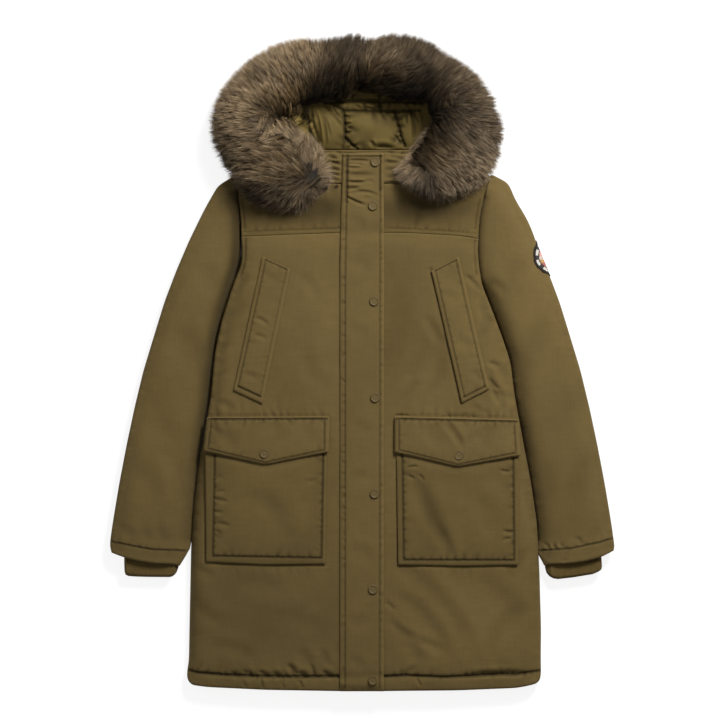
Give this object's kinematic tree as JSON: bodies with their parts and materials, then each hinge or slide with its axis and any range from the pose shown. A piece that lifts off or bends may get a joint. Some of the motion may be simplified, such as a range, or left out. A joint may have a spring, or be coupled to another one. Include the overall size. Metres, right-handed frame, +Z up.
{
  "type": "fur trimmed parka",
  "caption": "Padded mid-thigh parka laid flat, with a fur trimmed hood, storm placket, slanted chest pockets and flap patch pockets.",
  "frame": {"origin": "middle of the garment's box at the level of the surface it lies on", "axes": "+X towards the wearer's left arm, +Y from hem to hood, +Z up off the surface, out of the chest"},
  "size_m": [0.813, 1.0606, 0.0892],
  "materials": {
    "shell_cloth": "matte woven",
    "lining_cloth": "satin woven",
    "fur": "long pile",
    "rib_knit": "rib knit",
    "badge_cloth": "woven patch",
    "snap_metal": "satin"
  },
  "bodies": {
    "root": {"back": "shell_cloth", "badge": "badge_cloth", "collar": "shell_cloth", "cuff_left": "rib_knit", "cuff_right": "rib_knit", "flap_left": "shell_cloth", "flap_right": "shell_cloth", "front_left": "shell_cloth", "front_right": "shell_cloth", "fur_trim": "fur", "hood_lining": "lining_cloth", "hood_shell": "shell_cloth", "placket": "shell_cloth", "pocket_left": "shell_cloth", "pocket_right": "shell_cloth", "sleeve_left": "shell_cloth", "sleeve_right": "shell_cloth", "snap_flap_left": "snap_metal", "snap_flap_right": "snap_metal", "snap_placket_1": "snap_metal", "snap_placket_2": "snap_metal", "snap_placket_3": "snap_metal", "snap_placket_4": "snap_metal", "snap_placket_5": "snap_metal", "snap_placket_6": "snap_metal", "snap_placket_7": "snap_metal", "welt_left": "shell_cloth", "welt_right": "shell_cloth", "yoke_left": "shell_cloth", "yoke_right": "shell_cloth"}
  },
  "joints": []
}
